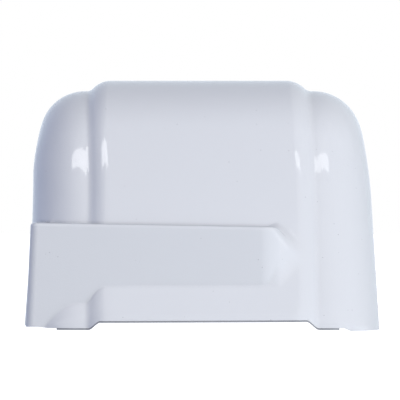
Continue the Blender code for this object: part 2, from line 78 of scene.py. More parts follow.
# The raised band across the middle. Each of its walls has its slope and the radius of its top edge.
BAND_RADIUS = WING_RADIUS + 0.0056
BAND_CENTRE = WING_TOP + BAND_RISE - BAND_RADIUS
BAND_HALF_WIDTH = 0.1113
BAND_SIDE = 0.0012
BAND_SHIFT = -0.0032
LEFT_WALL = (math.radians(56.0), 0.010)
RIGHT_WALL = (math.radians(45.0), 0.007)
BAND_ROOT_RADIUS = 0.003

# The trimmed edge: how far it is cut away under the band and under the box's leg, and the spans over which
# each cut fades out. The right skirt drops below the base.
BAND_TRIM = 0.0076
BAND_TRIM_SLOPE = 0.004
LEFT_TRIM_CURVE = (0.098, 0.110)
RIGHT_TRIM_CURVE = (0.1025, 0.1155)
LEG_TRIM = 0.0010
LEG_TRIM_CURVE = (0.149, 0.160)
LEG_TRIM_BACK = (-0.120, -0.090)
RIGHT_DROP_CURVE = (0.139, 0.147)

# The box-shaped bulge, low on the front and almost flush with the left side.
BOX_FACE = 0.1870
BOX_FACE_HEIGHT = 0.0420
BOX_FACE_DRAFT = 0.03
BOX_TOP = 0.0999
BOX_TOP_SLOPE = 0.017
BOX_INSET = 0.0033
BOX_END = 0.069
BOX_TOP_END = 0.074
BOX_BURIED_END = 0.105
BOX_EDGE_RADIUS = 0.008
BOX_TOP_RADIUS = 0.003
BOX_ROOT_RADIUS = 0.0004
RAMP_SLOPE = math.radians(38.0)
RAMP_EDGE_RADIUS = 0.0065
RAMP_ROOT_RADIUS = 0.009
RAMP_ROOT_CURVE = (0.064, 0.078)

# The mesh follows rays out of a spine inside the shell. Its spans are (start, end, step), with short steps
# where the form turns: along the spine, in degrees round each corner, up the flank, and down from the box's
# top edge.
SPINE_HALF = 0.120
REACH = 0.204
FAR = 0.5
BISECTIONS = 40
BAND_WALL_SPAN = (0.0945, 0.1170, 0.0010)
SPINE_END_STEP = 0.0015
SPINE_STEP = 0.004
RAMP_START = 0.052
RAMP_STEP = 0.0012
CORNER_SPANS = ((0.0, 27.0, 0.8), (27.0, 90.0, 2.5))
BOX_CORNER_SPANS = ((0.0, 12.0, 0.6), (12.0, 19.0, 0.25), (19.0, 40.0, 0.7), (40.0, 90.0, 2.5))
FLANK_SPANS = ((0.002, 0.020, 0.0020), (0.020, 0.048, 0.0008), (0.048, 0.054, 0.002))
BOX_EDGE_SPANS = ((0.042, 0.010, 0.0035), (0.010, 0.0, 0.0007))
SHELF_STEP = 0.0012
SHELF_MARGIN = 0.003
CROWN_STEP = 0.018
SHELL_CREASE = 50.0


# ---- the shell's form: each function is positive inside the form and gives the depth below its surface ----


def smoothstep(start, end, value):
    share = np.clip((value - start) / (end - start), 0.0, 1.0)
    return share * share * (3.0 - 2.0 * share)


def round_both(first, second, radius):
    """Inside both forms, with the outer edge between them rounded."""
    corner = np.hypot(np.maximum(radius - first, 0.0), np.maximum(radius - second, 0.0))
    return np.maximum(radius, np.minimum(first, second)) - corner


def round_either(first, second, radius):
    """Inside either form, with the inner corner between them rounded."""
    return -round_both(-first, -second, radius)


def side_half_width(x, z):
    """The right side leans in all the way up. The left side is upright above the box."""
    left_lean, right_lean = (lean * smoothstep(low, high, z) for lean, low, high in (LEFT_LEAN, RIGHT_LEAN))
    left = LEFT_HALF_WIDTH - LEFT_DRAFT * np.minimum(z, BOX_TOP) - left_lean
    right = HALF_WIDTH - SIDE_DRAFT * z - right_lean
    return np.where(x < 0.0, left, right)


def flank_half_depth(radius, centre, z):
    return (radius - (z - centre) * math.sin(FLANK_ANGLE)) / math.cos(FLANK_ANGLE)


def flank_depth(radius, centre, y, z):
    """Depth below a side profile: an arc on top, and a straight flank and an upright foot below it."""
    out, up = np.abs(y), z - centre
    arc = radius - np.hypot(out, up)
    flank = radius - out * math.cos(FLANK_ANGLE) - up * math.sin(FLANK_ANGLE)
    depth = np.where(up > out * math.tan(FLANK_ANGLE), arc, flank)
    foot = flank_half_depth(radius, centre, SKIRT_TOP)
    return round_both(depth, foot - out, SKIRT_RADIUS)


def wing_depth(y, z):
    """Depth below the profile of the shoulders, either side of the band."""
    return flank_depth(WING_RADIUS, WING_CENTRE, y, z)


def band_depth(x, y, z):
    """Depth below the raised band, whose side walls splay out as they come down to the shoulders."""
    crown = flank_depth(BAND_RADIUS, BAND_CENTRE, y, z)
    rise = np.minimum(wing_depth(y, z), 0.0)
    walls = [
        round_both(crown, (BAND_HALF_WIDTH - np.abs(x)) * math.sin(slope) + rise * math.cos(slope), radius)
        for slope, radius in (LEFT_WALL, RIGHT_WALL)
    ]
    return np.where(x < 0.0, *walls)


def box_top(x):
    return BOX_TOP - BOX_TOP_SLOPE * x


def box_depth(x, y, z):
    """Depth below the box, whose right end is a ramp with a sloping hip on top."""
    top = box_top(x)
    face = y + BOX_FACE - BOX_FACE_DRAFT * (z - BOX_FACE_HEIGHT)
    ramp = (BOX_END - x) * math.sin(RAMP_SLOPE) + face * math.cos(RAMP_SLOPE)
    hip = (BOX_TOP_END - x + top - z) * math.sqrt(0.5)
    front = round_both(face, ramp, RAMP_EDGE_RADIUS)
    end = round_both(front, side_half_width(-1.0, z) - BOX_INSET + x, BOX_EDGE_RADIUS)
    body = round_both(end, hip, BOX_EDGE_RADIUS)
    buried = np.minimum(-SPINE_HALF * 0.5 - y, BOX_BURIED_END - x)
    return np.minimum(round_both(body, top - z, BOX_TOP_RADIUS), buried)


def shell_depth(x, y, z):
    """Depth below the whole shell: the rounded loaf with the band and the box blended onto it."""
    rise = smoothstep(CROWN_START, WING_TOP, z)
    across = x - CROWN_SHIFT * rise
    radius = CORNER_RADIUS + (SHOULDER_RADIUS - CORNER_RADIUS) * rise
    loaf = round_both(side_half_width(x, z) - np.abs(across), wing_depth(y, z), radius)
    raised = round_either(loaf, band_depth(x - BAND_SIDE - BAND_SHIFT * rise, y, z), BAND_ROOT_RADIUS)
    root = BOX_ROOT_RADIUS + (RAMP_ROOT_RADIUS - BOX_ROOT_RADIUS) * smoothstep(*RAMP_ROOT_CURVE, x)
    return round_either(raised, box_depth(x, y, z), root)


def trim_height(x, y):
    """Height of the trimmed edge: raised under the band, and a little under the box's leg."""
    curve = np.where(x < 0.0, smoothstep(*LEFT_TRIM_CURVE, -x), smoothstep(*RIGHT_TRIM_CURVE, x))
    band = (BAND_TRIM + BAND_TRIM_SLOPE * x) * (1.0 - curve)
    leg = LEG_TRIM * smoothstep(*LEG_TRIM_CURVE, -x) * (1.0 - smoothstep(*LEG_TRIM_BACK, y))
    return band + leg - RIGHT_DROP * smoothstep(*RIGHT_DROP_CURVE, x)


def reach_of(origin, direction, depth):
    """How far along each ray from inside the form its depth falls to the one asked for."""
    near = np.zeros(np.broadcast_shapes(origin.shape, direction.shape)[:-1])
    far = near + FAR
    for _ in range(BISECTIONS):
        middle = (near + far) / 2.0
        point = origin + direction * middle[..., None]
        inside = shell_depth(point[..., 0], point[..., 1], point[..., 2]) > depth
        near = np.where(inside, middle, near)
        far = np.where(inside, far, middle)
    return near


def graded(*spans):
    """Values over (start, end, step) spans, each divided evenly, without the very last one."""
    values = []
    for start, end, step in spans:
        count = max(1, round(abs(end - start) / step))
        values += [start + (end - start) * i / count for i in range(count)]
    return values


def spine_positions():
    """Places along the spine, close together beside the band's walls and the box's ramp."""
    near, far, step = BAND_WALL_SPAN
    left = graded((-SPINE_HALF, -far, SPINE_END_STEP), (-far, -near, step))
    middle = graded((-near, RAMP_START, SPINE_STEP), (RAMP_START, near, RAMP_STEP))
    right = graded((near, far, step), (far, SPINE_HALF, SPINE_END_STEP))
    return np.array(left + middle + right + [SPINE_HALF])


def stations():
    """Ray origins and bearings once around the cap, counter-clockwise from the front left, the number of them
    along the front, and the first one at the back."""
    across = spine_positions()
    turns, box_turns = (np.array(graded(*spans)[1:]) for spans in (CORNER_SPANS, BOX_CORNER_SPANS))
    origin = [across, np.full(2 * len(turns) + 1, SPINE_HALF), across[::-1]]
    origin += [np.full(len(turns) + 1 + len(box_turns), -SPINE_HALF)]
    bearing = [np.full(len(across), -90.0), turns - 90.0, [0.0], 90.0 - turns[::-1]]
    bearing += [np.full(len(across), 90.0), 90.0 + turns, [180.0], 270.0 - box_turns[::-1]]
    back = len(across) + 2 * len(turns) + 1
    return np.concatenate(origin), np.radians(np.concatenate(bearing)), len(across), back


def ray_elevations(top):
    """Angles above the base for each station's box height, closer together where the form turns."""
    angles = [np.zeros_like(top)]
    for height in graded(*FLANK_SPANS):
        reach = flank_half_depth(BAND_RADIUS, BAND_CENTRE, height)
        angles.append(np.full_like(top, math.atan2(height, reach)))
    angles += [np.arctan2(top - drop, BOX_FACE) for drop in graded(*BOX_EDGE_SPANS)]
    shelf_back = flank_half_depth(WING_RADIUS, WING_CENTRE, BOX_TOP) - SHELF_MARGIN
    angles += [np.arctan2(top, depth) for depth in graded((BOX_FACE, shelf_back, SHELF_STEP))]
    start = np.arctan2(top, shelf_back)
    angles += [start + (math.pi / 2.0 - start) * share for share in graded((0.0, 1.0, CROWN_STEP))]
    return np.stack(angles, axis=1)


def shell_layer(depth):
    """One face of the sheet: its grid of points by station and row, and its ridge along the crown."""
    origin_x, bearing, _, _ = stations()
    origin = np.stack([origin_x, np.zeros_like(origin_x), np.zeros_like(origin_x)], axis=1)
    flat = np.stack([np.cos(bearing), np.sin(bearing), np.zeros_like(bearing)], axis=1)
    foot = origin + flat * reach_of(origin, flat, 0.0)[:, None]
    origin[:, 2] = trim_height(foot[:, 0], foot[:, 1])
    width = reach_of(origin, flat, 0.0)
    elevation = ray_elevations(box_top(origin_x))
    slant = flat[:, None, :] * (width[:, None] * np.cos(elevation))[..., None]
    slant[..., 2] = REACH * np.sin(elevation)
    slant /= np.linalg.norm(slant, axis=2, keepdims=True)
    grid = origin[:, None, :] + slant * reach_of(origin[:, None, :], slant, depth)[..., None]
    across = spine_positions()
    base = np.stack([across, np.zeros_like(across), np.zeros_like(across)], axis=1)
    up = np.array([0.0, 0.0, 1.0])
    return grid, base + up * reach_of(base, up, depth)[:, None]


def layer_faces(first, count, rows, across, back):
    """Faces of one layer whose grid starts at vertex first: quads, strips to the ridge, a fan at each end."""
    ridge = first + count * rows

    def at(station, row):
        return first + (station % count) * rows + row

    last = rows - 1
    faces = [
        (at(i, row), at(i + 1, row), at(i + 1, row + 1), at(i, row + 1))
        for i in range(count) for row in range(last)
    ]
    for i in range(across - 1):
        faces.append((at(i, last), at(i + 1, last), ridge + i + 1, ridge + i))
        far = ridge + across - 1 - i
        faces.append((at(back + i, last), at(back + i + 1, last), far - 1, far))
    faces += [(at(i, last), at(i + 1, last), ridge + across - 1) for i in range(across - 1, back)]
    faces += [(at(i, last), at(i + 1, last), ridge) for i in range(back + across - 1, count)]
    return faces


def new_object(name, mesh):
    made = bpy.data.objects.new(name, mesh)
    bpy.context.scene.collection.objects.link(made)
    return made


def build_shell():
    """The sheet's two faces, joined around the trimmed edge, with a hole for each cup."""
    _, _, across, back = stations()
    outer, outer_ridge = shell_layer(0.0)
    inner, inner_ridge = shell_layer(SHEET)
    count, rows = outer.shape[:2]
    points = np.concatenate([outer.reshape(-1, 3), outer_ridge, inner.reshape(-1, 3), inner_ridge])
    second = count * rows + across
    faces = layer_faces(0, count, rows, across, back)
    faces += [face[::-1] for face in layer_faces(second, count, rows, across, back)]
    for i in range(count):
        j = (i + 1) % count
        faces.append((j * rows, i * rows, second + i * rows, second + j * rows))
    mesh = bpy.data.meshes.new("shell_skin")
    points[:, 2] += BASE_HEIGHT
    mesh.from_pydata(points.tolist(), [], faces)
    shell = new_object("shell_skin", mesh)
    for _, place, turn in fixings():
        drill_hole(shell, place, turn)
    mesh.shade_smooth()
    mesh.set_sharp_from_angle(angle=math.radians(SHELL_CREASE))
    return shell


def drill_hole(shell, place, turn):
    """Cuts the hole that a cup sits in straight through the side wall."""
    rows = [(-2.0 * SHEET, 0.0), (-2.0 * SHEET, WALL_HOLE), (SHEET, WALL_HOLE), (SHEET, 0.0)]
    drill = lathe("drill", rows, steps=HOLE_STEPS)
    drill.location, drill.rotation_euler = place, turn
    cut = shell.modifiers.new("hole", "BOOLEAN")
    cut.operation = "DIFFERENCE"
    cut.solver = "EXACT"
    cut.object = drill
    with bpy.context.temp_override(object=shell, active_object=shell):
        bpy.ops.object.modifier_apply(modifier=cut.name)
    bpy.data.objects.remove(drill)


# ---- edge seals ----

# Their section, as (depth below the shell's surface, height above the trimmed edge), and where they end.
SEAL_SECTION = (
    (0.0009, -0.0017), (0.0005, -0.0014), (0.0004, -0.0010), (0.0004, -0.0003),
    (0.0040, -0.0003), (0.0040, 0.0045), (0.0044, 0.0050), (0.0056, 0.0050), (0.0060, 0.0045),
    (0.0060, -0.0013), (0.0056, -0.0017),
)
SEAL_ENDS = (-0.141, 0.136)
SEAL_STEP = 0.0015


def build_seal(name, facing):
    """A rubber strip with one leg inside the wall and a foot under the trimmed edge, closed at both ends."""
    low, high = SEAL_ENDS
    left = np.arange(low, -SPINE_HALF, SEAL_STEP)
    right = np.arange(SPINE_HALF, high, SEAL_STEP)[1:]
    x = np.concatenate([left, spine_positions(), right])
    flat = np.array([0.0, facing, 0.0])
    base = np.stack([x, np.zeros_like(x), np.zeros_like(x)], axis=1)
    foot = reach_of(base, flat, 0.0)
    trim = trim_height(x, facing * foot)
    loops = []
    for depth, rise in SEAL_SECTION:
        start = base.copy()
        start[:, 2] = np.maximum(trim + rise, -RIGHT_DROP)
        line = start + flat * reach_of(start, flat, depth)[:, None]
        line[:, 2] = trim + rise + BASE_HEIGHT
        loops.append(line)
    points = np.stack(loops, axis=1)
    count, corners = points.shape[:2]
    faces = []
    for first in range(0, (count - 1) * corners, corners):
        second = first + corners
        for k in range(corners):
            after = (k + 1) % corners
            faces.append((first + k, first + after, second + after, second + k))
    faces += [tuple(range(corners)), tuple(range(count * corners - 1, (count - 1) * corners - 1, -1))]
    return new_object(name, outward_mesh(name, points.reshape(-1, 3).tolist(), faces))


# ---- round hardware: everything is turned about local X, with radii that may vary around it ----

TURN_STEPS = 96
HOLE_STEPS = 48
HARDWARE_CREASE = 40.0
ROWS_PER_PITCH = 6
TINY = 1e-6
MERGE_DISTANCE = 1e-7
FULL_TURN = 2.0 * math.pi
WALL_HOLE = 0.0065
FIXING_HEIGHT = 0.040
FIXING_SPACING = 0.038


def outward_mesh(name, points, faces):
    """A mesh with its doubled points merged, its faces turned outwards and its corners kept sharp."""
    form = bmesh.new()
    verts = [form.verts.new(point) for point in points]
    for face in faces:
        form.faces.new([verts[i] for i in face])
    bmesh.ops.remove_doubles(form, verts=form.verts, dist=MERGE_DISTANCE)
    bmesh.ops.recalc_face_normals(form, faces=form.faces)
    mesh = bpy.data.meshes.new(name)
    form.to_mesh(mesh)
    form.free()
    mesh.shade_smooth()
    mesh.set_sharp_from_angle(angle=math.radians(HARDWARE_CREASE))
    return mesh


def around(steps):
    """Equally spaced angles once around."""
    return np.arange(steps) * FULL_TURN / steps


def lathe(name, rows, steps=TURN_STEPS, bored=False, shift=0.0):
    """A body turned about X from (x, radius) rows, either of which may be an array of values around it.
    A bored body closes onto its first row. The shift moves it up along Z."""
    angle = around(steps)
    grid = np.zeros((len(rows), steps, 3))
    for row, (x, radius) in zip(grid, rows):
        row[:, 0] = x
        row[:, 1] = radius * np.sin(angle)
        row[:, 2] = radius * np.cos(angle) + shift
    count = len(rows)
    faces = []
    for i in range(count if bored else count - 1):
        first, second = i * steps, (i + 1) % count * steps
        for k in range(steps):
            after = (k + 1) % steps
            faces.append((first + k, first + after, second + after, second + k))
    return new_object(name, outward_mesh(name, grid.reshape(-1, 3).tolist(), clean_quads(faces, rows, steps)))


def clean_quads(faces, rows, steps):
    """Turns the quads that touch a point on the axis into triangles."""
    on_axis = {i for i, (_, radius) in enumerate(rows) if np.ndim(radius) == 0 and radius == 0.0}
    kept = []
    for face in faces:
        merged = [index // steps * steps if index // steps in on_axis else index for index in face]
        corners = list(dict.fromkeys(merged))
        if len(corners) > 2:
            kept.append(tuple(corners))
    return kept


def polygon_radius(sides, apothem):
    """Radius around a regular polygon, with a corner at the top."""
    step = FULL_TURN / sides
    return apothem / np.cos((around(TURN_STEPS) % step) - step / 2.0)


def tabbed_radius(disc, half_width, top):
    """Radius around a disc with a square tab standing on it."""
    angle = around(TURN_STEPS)
    side = np.abs(np.sin(angle))
    tab = np.minimum(top / np.maximum(np.cos(angle), TINY), half_width / np.maximum(side, TINY))
    return np.where(np.cos(angle) > 0.0, np.maximum(disc, tab), disc)


def thread_rows(start, end, radius, pitch, depth):
    """Rows of a screw thread, faded out over half a turn at both ends."""
    length = end - start
    count = round(length / pitch * ROWS_PER_PITCH)
    rows = []
    for i in range(count + 1):
        share = i / count
        x = start + length * share
        wave = (x / pitch + around(TURN_STEPS) / FULL_TURN) % 1.0
        fade = min(1.0, 2.0 * share * length / pitch, 2.0 * (1.0 - share) * length / pitch)
        rows.append((x, radius - depth * fade * np.abs(2.0 * wave - 1.0)))
    return rows


def fixings():
    """Name, place and turn of the four screws through the side walls: local X points out of the wall."""
    for side, sign, draft in (("left", -1.0, LEFT_DRAFT), ("right", 1.0, SIDE_DRAFT)):
        reach = float(side_half_width(sign, FIXING_HEIGHT))
        turn = (0.0, -math.atan(draft), math.pi if sign < 0.0 else 0.0)
        for end, y in (("front", -FIXING_SPACING), ("rear", FIXING_SPACING)):
            yield f"{side}_{end}", (sign * reach, y, FIXING_HEIGHT + BASE_HEIGHT), turn


CORNERS = [name for name, _, _ in fixings()]

# The cup washers and their lids: radii of the flange, the body, the recess and the bore, and heights above
# the wall's face. The tab is (half width, top), and the hinge's height is measured from the screw's axis.
CUP_FLANGE = 0.008
CUP_BODY = 0.0062
CUP_FACE = 0.0013
CUP_FLOOR = -0.0017
CUP_BACK = -0.0029
CUP_RECESS = 0.0049
SCREW_BORE = 0.0029
LID_SEAT = 0.0016
LID_THICKNESS = 0.0016
LID_TAB = (0.0035, 0.0097)
LID_HINGE = 0.010
EASE = 0.0003
LID_NOTCH = 0.0009
LID_NOTCH_WIDTH = 0.16
LID_DOME = 0.0006
LID_RINGS = (0.93, 0.8, 0.6, 0.4, 0.2)


def build_cup(name):
    """A cup washer: a tabbed flange on the wall, and a body through it that holds the screw's head."""
    flange = tabbed_radius(CUP_FLANGE, *LID_TAB)
    return lathe(name, [
        (CUP_BACK, SCREW_BORE), (CUP_BACK, CUP_BODY - EASE), (CUP_BACK + EASE, CUP_BODY), (EASE, CUP_BODY),
        (EASE, flange - EASE / 3.0), (EASE * 2.0, flange), (CUP_FACE - EASE, flange),
        (CUP_FACE, flange - EASE), (CUP_FACE, CUP_RECESS + EASE), (CUP_FACE - EASE, CUP_RECESS),
        (CUP_FLOOR + EASE, CUP_RECESS), (CUP_FLOOR, CUP_RECESS - EASE), (CUP_FLOOR, SCREW_BORE),
    ], bored=True)


def build_lid(name):
    """A slightly domed flip lid, with a tab up to its hinge and a fingernail notch at the bottom."""
    angle = around(TURN_STEPS)
    notch = LID_NOTCH * np.exp(-((angle - math.pi) / LID_NOTCH_WIDTH) ** 2)
    rim = tabbed_radius(CUP_FLANGE, *LID_TAB) - notch
    top = LID_THICKNESS - EASE
    rows = [(0.0, 0.0), (0.0, rim - EASE), (EASE, rim), (top - EASE, rim), (top, rim - EASE)]
    rows += [(top + LID_DOME * (1.0 - share ** 2), share * (rim - EASE)) for share in LID_RINGS]
    rows.append((top + LID_DOME, 0.0))
    return lathe(name, rows, shift=-LID_HINGE)


# The shell screws: a pan head with a cross recess, and a thread.
PAN_HEAD = 0.0045
PAN_SHANK = 0.0024
PAN_LENGTH = 0.0215
PAN_TOP = 0.0009
PAN_RIM = 0.0010
PAN_DROP = 0.0007
PAN_NECK = 0.001
PAN_PITCH = 0.0013
PAN_THREAD = 0.0004
PAN_RINGS = (0.97, 0.9, 0.8, 0.68, 0.58, 0.54, 0.50, 0.42, 0.34, 0.28, 0.24, 0.20, 0.14, 0.07)
CROSS_DEPTH = 0.0011
CROSS_HALF_WIDTH = 0.00055
CROSS_SLOPE = 0.0002
CROSS_REACH = (0.50, 0.54)


def build_shell_screw(name):
    """A pan-head screw with a cross recess and a thread down to a blunt point."""
    seat = CUP_FLOOR + EASE
    angle = around(TURN_STEPS)
    across = np.minimum(np.abs(np.sin(angle)), np.abs(np.cos(angle)))
    full, none = CROSS_REACH
    rows = [(-PAN_LENGTH, 0.0), (-PAN_LENGTH, PAN_SHANK * 0.5), (-PAN_LENGTH + PAN_SHANK, PAN_SHANK * 0.9)]
    rows += thread_rows(-PAN_LENGTH + PAN_SHANK, seat - PAN_NECK, PAN_SHANK, PAN_PITCH, PAN_THREAD)
    rows += [(seat, PAN_SHANK), (seat, PAN_HEAD - EASE), (seat + EASE, PAN_HEAD), (seat + PAN_RIM, PAN_HEAD)]
    for share in PAN_RINGS:
        radius = share * PAN_HEAD
        inside = np.clip((CROSS_HALF_WIDTH - across * radius) / CROSS_SLOPE, 0.0, 1.0)
        inside *= np.clip((none - share) / (none - full), 0.0, 1.0)
        rows.append((PAN_TOP - PAN_DROP * share ** 4 - CROSS_DEPTH * inside * (1.0 - share), radius))
    rows.append((PAN_TOP - CROSS_DEPTH, 0.0))
    return lathe(name, rows)


# The post screws: half the distance across the head's flats, the head's height, the shank and the thread.
HEX_HALF = 0.0065
HEX_HEIGHT = 0.0053
HEX_CHAMFER = 1.6
HEX_DROPS = (0.0014, 0.0010, 0.0006, 0.0002, 0.0)
COACH_SHANK = 0.0038
COACH_LENGTH = 0.040
COACH_NECK = (-0.012, -0.010)
COACH_PITCH = 0.0026
COACH_THREAD = 0.0007
WASHER_GAP = 0.0003


def build_post_screw(name):
    """A hex-head coach screw: chamfered head with a washer face, plain neck and coarse thread."""
    hexagon = polygon_radius(6, HEX_HALF)
    point = -COACH_LENGTH + COACH_SHANK * 1.6
    thread_end, neck = COACH_NECK
    rows = [(-COACH_LENGTH, 0.0), (-COACH_LENGTH, COACH_SHANK * 0.35), (point, COACH_SHANK * 0.85)]
    rows += thread_rows(point, thread_end, COACH_SHANK, COACH_PITCH, COACH_THREAD)
    rows += [(neck, COACH_SHANK), (0.0, COACH_SHANK)]
    rows += [(0.0, HEX_HALF - 0.0004), (0.0004, HEX_HALF - 0.0002), (0.0005, hexagon)]
    rows += [(HEX_HEIGHT - drop, np.minimum(hexagon, HEX_HALF + drop * HEX_CHAMFER)) for drop in HEX_DROPS]
    rows += [(HEX_HEIGHT, HEX_HALF * 0.9), (HEX_HEIGHT, 0.0)]
    return lathe(name, rows)


# ---- materials ----

NOISE_MIDDLE = (0.3, 0.7)


def new_material(name):
    made = bpy.data.materials.new(name)
    made.use_nodes = True
    tree = made.node_tree
    return made, tree, tree.nodes["Principled BSDF"]


def feed(tree, socket, value):
    """Sets an input to a value, or links it when given another node's output."""
    if isinstance(value, bpy.types.NodeSocket):
        tree.links.new(value, socket)
    else:
        socket.default_value = value


def add_node(tree, kind, **inputs):
    """A shader node with some of its inputs set or linked: names with underscores for spaces."""
    node = tree.nodes.new(kind)
    for name, value in inputs.items():
        feed(tree, node.inputs[name.replace("_", " ")], value)
    return node


def math_node(tree, operation, first, second):
    node = tree.nodes.new("ShaderNodeMath")
    node.operation = operation
    feed(tree, node.inputs[0], first)
    feed(tree, node.inputs[1], second)
    return node.outputs["Value"]


def vector_node(tree, operation, first, second):
    node = tree.nodes.new("ShaderNodeVectorMath")
    node.operation = operation
    feed(tree, node.inputs[0], first)
    feed(tree, node.inputs["Scale" if operation == "SCALE" else 1], second)
    return node.outputs["Value" if operation == "DOT_PRODUCT" else "Vector"]


def noise(tree, scale, detail=2.0):
    coords = tree.nodes.new("ShaderNodeTexCoord")
    made = add_node(tree, "ShaderNodeTexNoise", Vector=coords.outputs["Object"], Scale=scale, Detail=detail)
    return made.outputs["Fac"]


def spread(tree, value, low, high):
    """Maps the middle of a noise's range onto low to high."""
    made = add_node(tree, "ShaderNodeMapRange", Value=value, To_Min=low, To_Max=high)
    made.inputs["From Min"].default_value, made.inputs["From Max"].default_value = NOISE_MIDDLE
    return made.outputs["Result"]


def mix_colours(tree, share, first, second):
    made = tree.nodes.new("ShaderNodeMix")
    made.data_type = "RGBA"
    feed(tree, made.inputs[0], share)
    feed(tree, made.inputs[6], (*first, 1.0))
    feed(tree, made.inputs[7], (*second, 1.0))
    return made.outputs[2]


def bumped(tree, shader, height, strength, distance):
    bump = add_node(tree, "ShaderNodeBump", Height=height, Strength=strength, Distance=distance)
    tree.links.new(bump.outputs["Normal"], shader.inputs["Normal"])


def worn_material(name, colours, roughness, scale, grain, metallic=0.0):
    """A surface that drifts between two colours and two roughnesses, grained by (scale, strength, depth)."""
    made, tree, shader = new_material(name)
    patches = noise(tree, scale, 4.0)
    feed(tree, shader.inputs["Base Color"], mix_colours(tree, spread(tree, patches, 0.0, 1.0), *colours))
    feed(tree, shader.inputs["Roughness"], spread(tree, noise(tree, scale * 2.3), *roughness))
    shader.inputs["Metallic"].default_value = metallic
    grain_scale, strength, depth = grain
    bumped(tree, shader, noise(tree, grain_scale), strength, depth)
    return made


def specks(tree):
    """1 on a few tiny spots of dust scattered over the surface, 0 elsewhere."""
    coords = tree.nodes.new("ShaderNodeTexCoord")
    cells = add_node(tree, "ShaderNodeTexVoronoi", Vector=coords.outputs["Object"], Scale=250.0)
    lottery = add_node(tree, "ShaderNodeSeparateColor", Color=cells.outputs["Color"])
    near = math_node(tree, "LESS_THAN", cells.outputs["Distance"], 0.12)
    return math_node(tree, "MULTIPLY", near, math_node(tree, "GREATER_THAN", lottery.outputs["Red"], 0.96))


def abs_material():
    """Formed white plastic: a soft sheen under a thin gloss, orange peel, dust, and painted shade in the
    creases.
    """
    made, tree, shader = new_material("gloss_white_abs_look")
    # Painted shade: an ambient occlusion node darkens the base colour in creases and nooks.
    crease_shade = tree.nodes.new("ShaderNodeAmbientOcclusion")
    crease_shade.samples = 8
    crease_shade.inputs["Distance"].default_value = 0.005
    crease_shaded_colour = vector_node(tree, "SCALE", (0.79, 0.80, 0.81), crease_shade.outputs["AO"])
    dust = math_node(tree, "SUBTRACT", 1.0, math_node(tree, "MULTIPLY", specks(tree), 0.30))
    feed(tree, shader.inputs["Base Color"], vector_node(tree, "SCALE", crease_shaded_colour, dust))
    feed(tree, shader.inputs["Roughness"], spread(tree, noise(tree, 25.0, 1.0), 0.28, 0.32))
    shader.inputs["Specular IOR Level"].default_value = 0.15
    shader.inputs["Coat Weight"].default_value = 0.6
    shader.inputs["Coat Roughness"].default_value = 0.04
    bumped(tree, shader, noise(tree, 700.0), 0.18, 0.0004)
    return made


def rubber_material(name, colour, roughness, grain_scale):
    """Grained rubber, paler where dust clings to it."""
    dusty = tuple(level + 0.05 for level in colour)
    grain = (grain_scale, 0.5, 0.0003)
    return worn_material(name, (colour, dusty), (roughness, roughness + 0.15), 60.0, grain)


def zinc_material():
    """Bright zinc plate, dulled in places."""
    colours = (0.66, 0.66, 0.64), (0.56, 0.55, 0.50)
    return worn_material("zinc_look", colours, (0.28, 0.45), 300.0, (1500.0, 0.15, 0.0001), metallic=1.0)


def cover_material():
    """Moulded white plastic, slightly duller in patches."""
    colours = (0.80, 0.81, 0.83), (0.77, 0.78, 0.79)
    return worn_material("cover_look", colours, (0.28, 0.38), 120.0, (1200.0, 0.12, 0.0002))


def nylon_material():
    """Natural nylon, cream coloured and slightly translucent."""
    colours = (0.82, 0.80, 0.72), (0.76, 0.73, 0.63)
    look = worn_material("nylon_look", colours, (0.42, 0.55), 200.0, (900.0, 0.1, 0.0002))
    shader = look.node_tree.nodes["Principled BSDF"]
    shader.inputs["Subsurface Weight"].default_value = 0.3
    shader.inputs["Subsurface Scale"].default_value = 0.002
    return look


def galvanised_material():
    """Zinc crystals: each grain has its own brightness and roughness."""
    made, tree, shader = new_material("galvanised_look")
    coords = tree.nodes.new("ShaderNodeTexCoord")
    grains = add_node(tree, "ShaderNodeTexVoronoi", Vector=coords.outputs["Object"], Scale=140.0)
    tone = add_node(tree, "ShaderNodeSeparateColor", Color=grains.outputs["Color"])
    colour = mix_colours(tree, tone.outputs["Red"], (0.50, 0.52, 0.54), (0.68, 0.70, 0.71))
    feed(tree, shader.inputs["Base Color"], colour)
    feed(tree, shader.inputs["Roughness"], spread(tree, tone.outputs["Green"], 0.34, 0.52))
    shader.inputs["Metallic"].default_value = 1.0
    bumped(tree, shader, grains.outputs["Distance"], 0.12, 0.0003)
    return made


# ---- studio ----

CAMERA_LENS = 315.0
CAMERA_DISTANCE = 3.61
CAMERA_HEIGHT = 0.1251
CAMERA_SIDE = -0.001
CAMERA_CLIP = 100.0
FLOOR_HEIGHT = -0.30
FLOOR_REACH = 40.0

# The surroundings, as soft lobes of light: where each comes from, how tight it is, and its colour.
SURROUNDINGS = (
    ((-1.0, 0.0, 0.0), 2.0, (0.27, 0.38, 0.74)),
    ((0.0, 1.0, 0.0), 2.0, (0.90, 1.00, 1.10)),
    ((0.0, -0.707, 0.707), 4.0, (1.28, 1.235, 1.225)),
    ((0.836, -0.483, 0.259), 4.0, (0.24, 0.23, 0.41)),
)

CAP_MIDDLE = Vector((0.0, 0.0, BASE_HEIGHT + 0.12))
SOFTBOX_DISTANCE = 3.0
SOFTBOX_SIZE = (2.0, 2.0)

# Each strip's name, the place on the shoulder that it faces, its own place, its size, its power and its roll.
WING_STRIPS = (
    ("left_strip", (-0.1213, -0.1013, 0.1632), (-0.2175, -0.2601, 0.5180), (0.19, 0.026), 0.125, 19.5),
    ("right_strip", (0.1223, -0.1004, 0.1642), (0.2223, -0.2600, 0.5171), (0.15, 0.018), 0.048, -18.0),
)


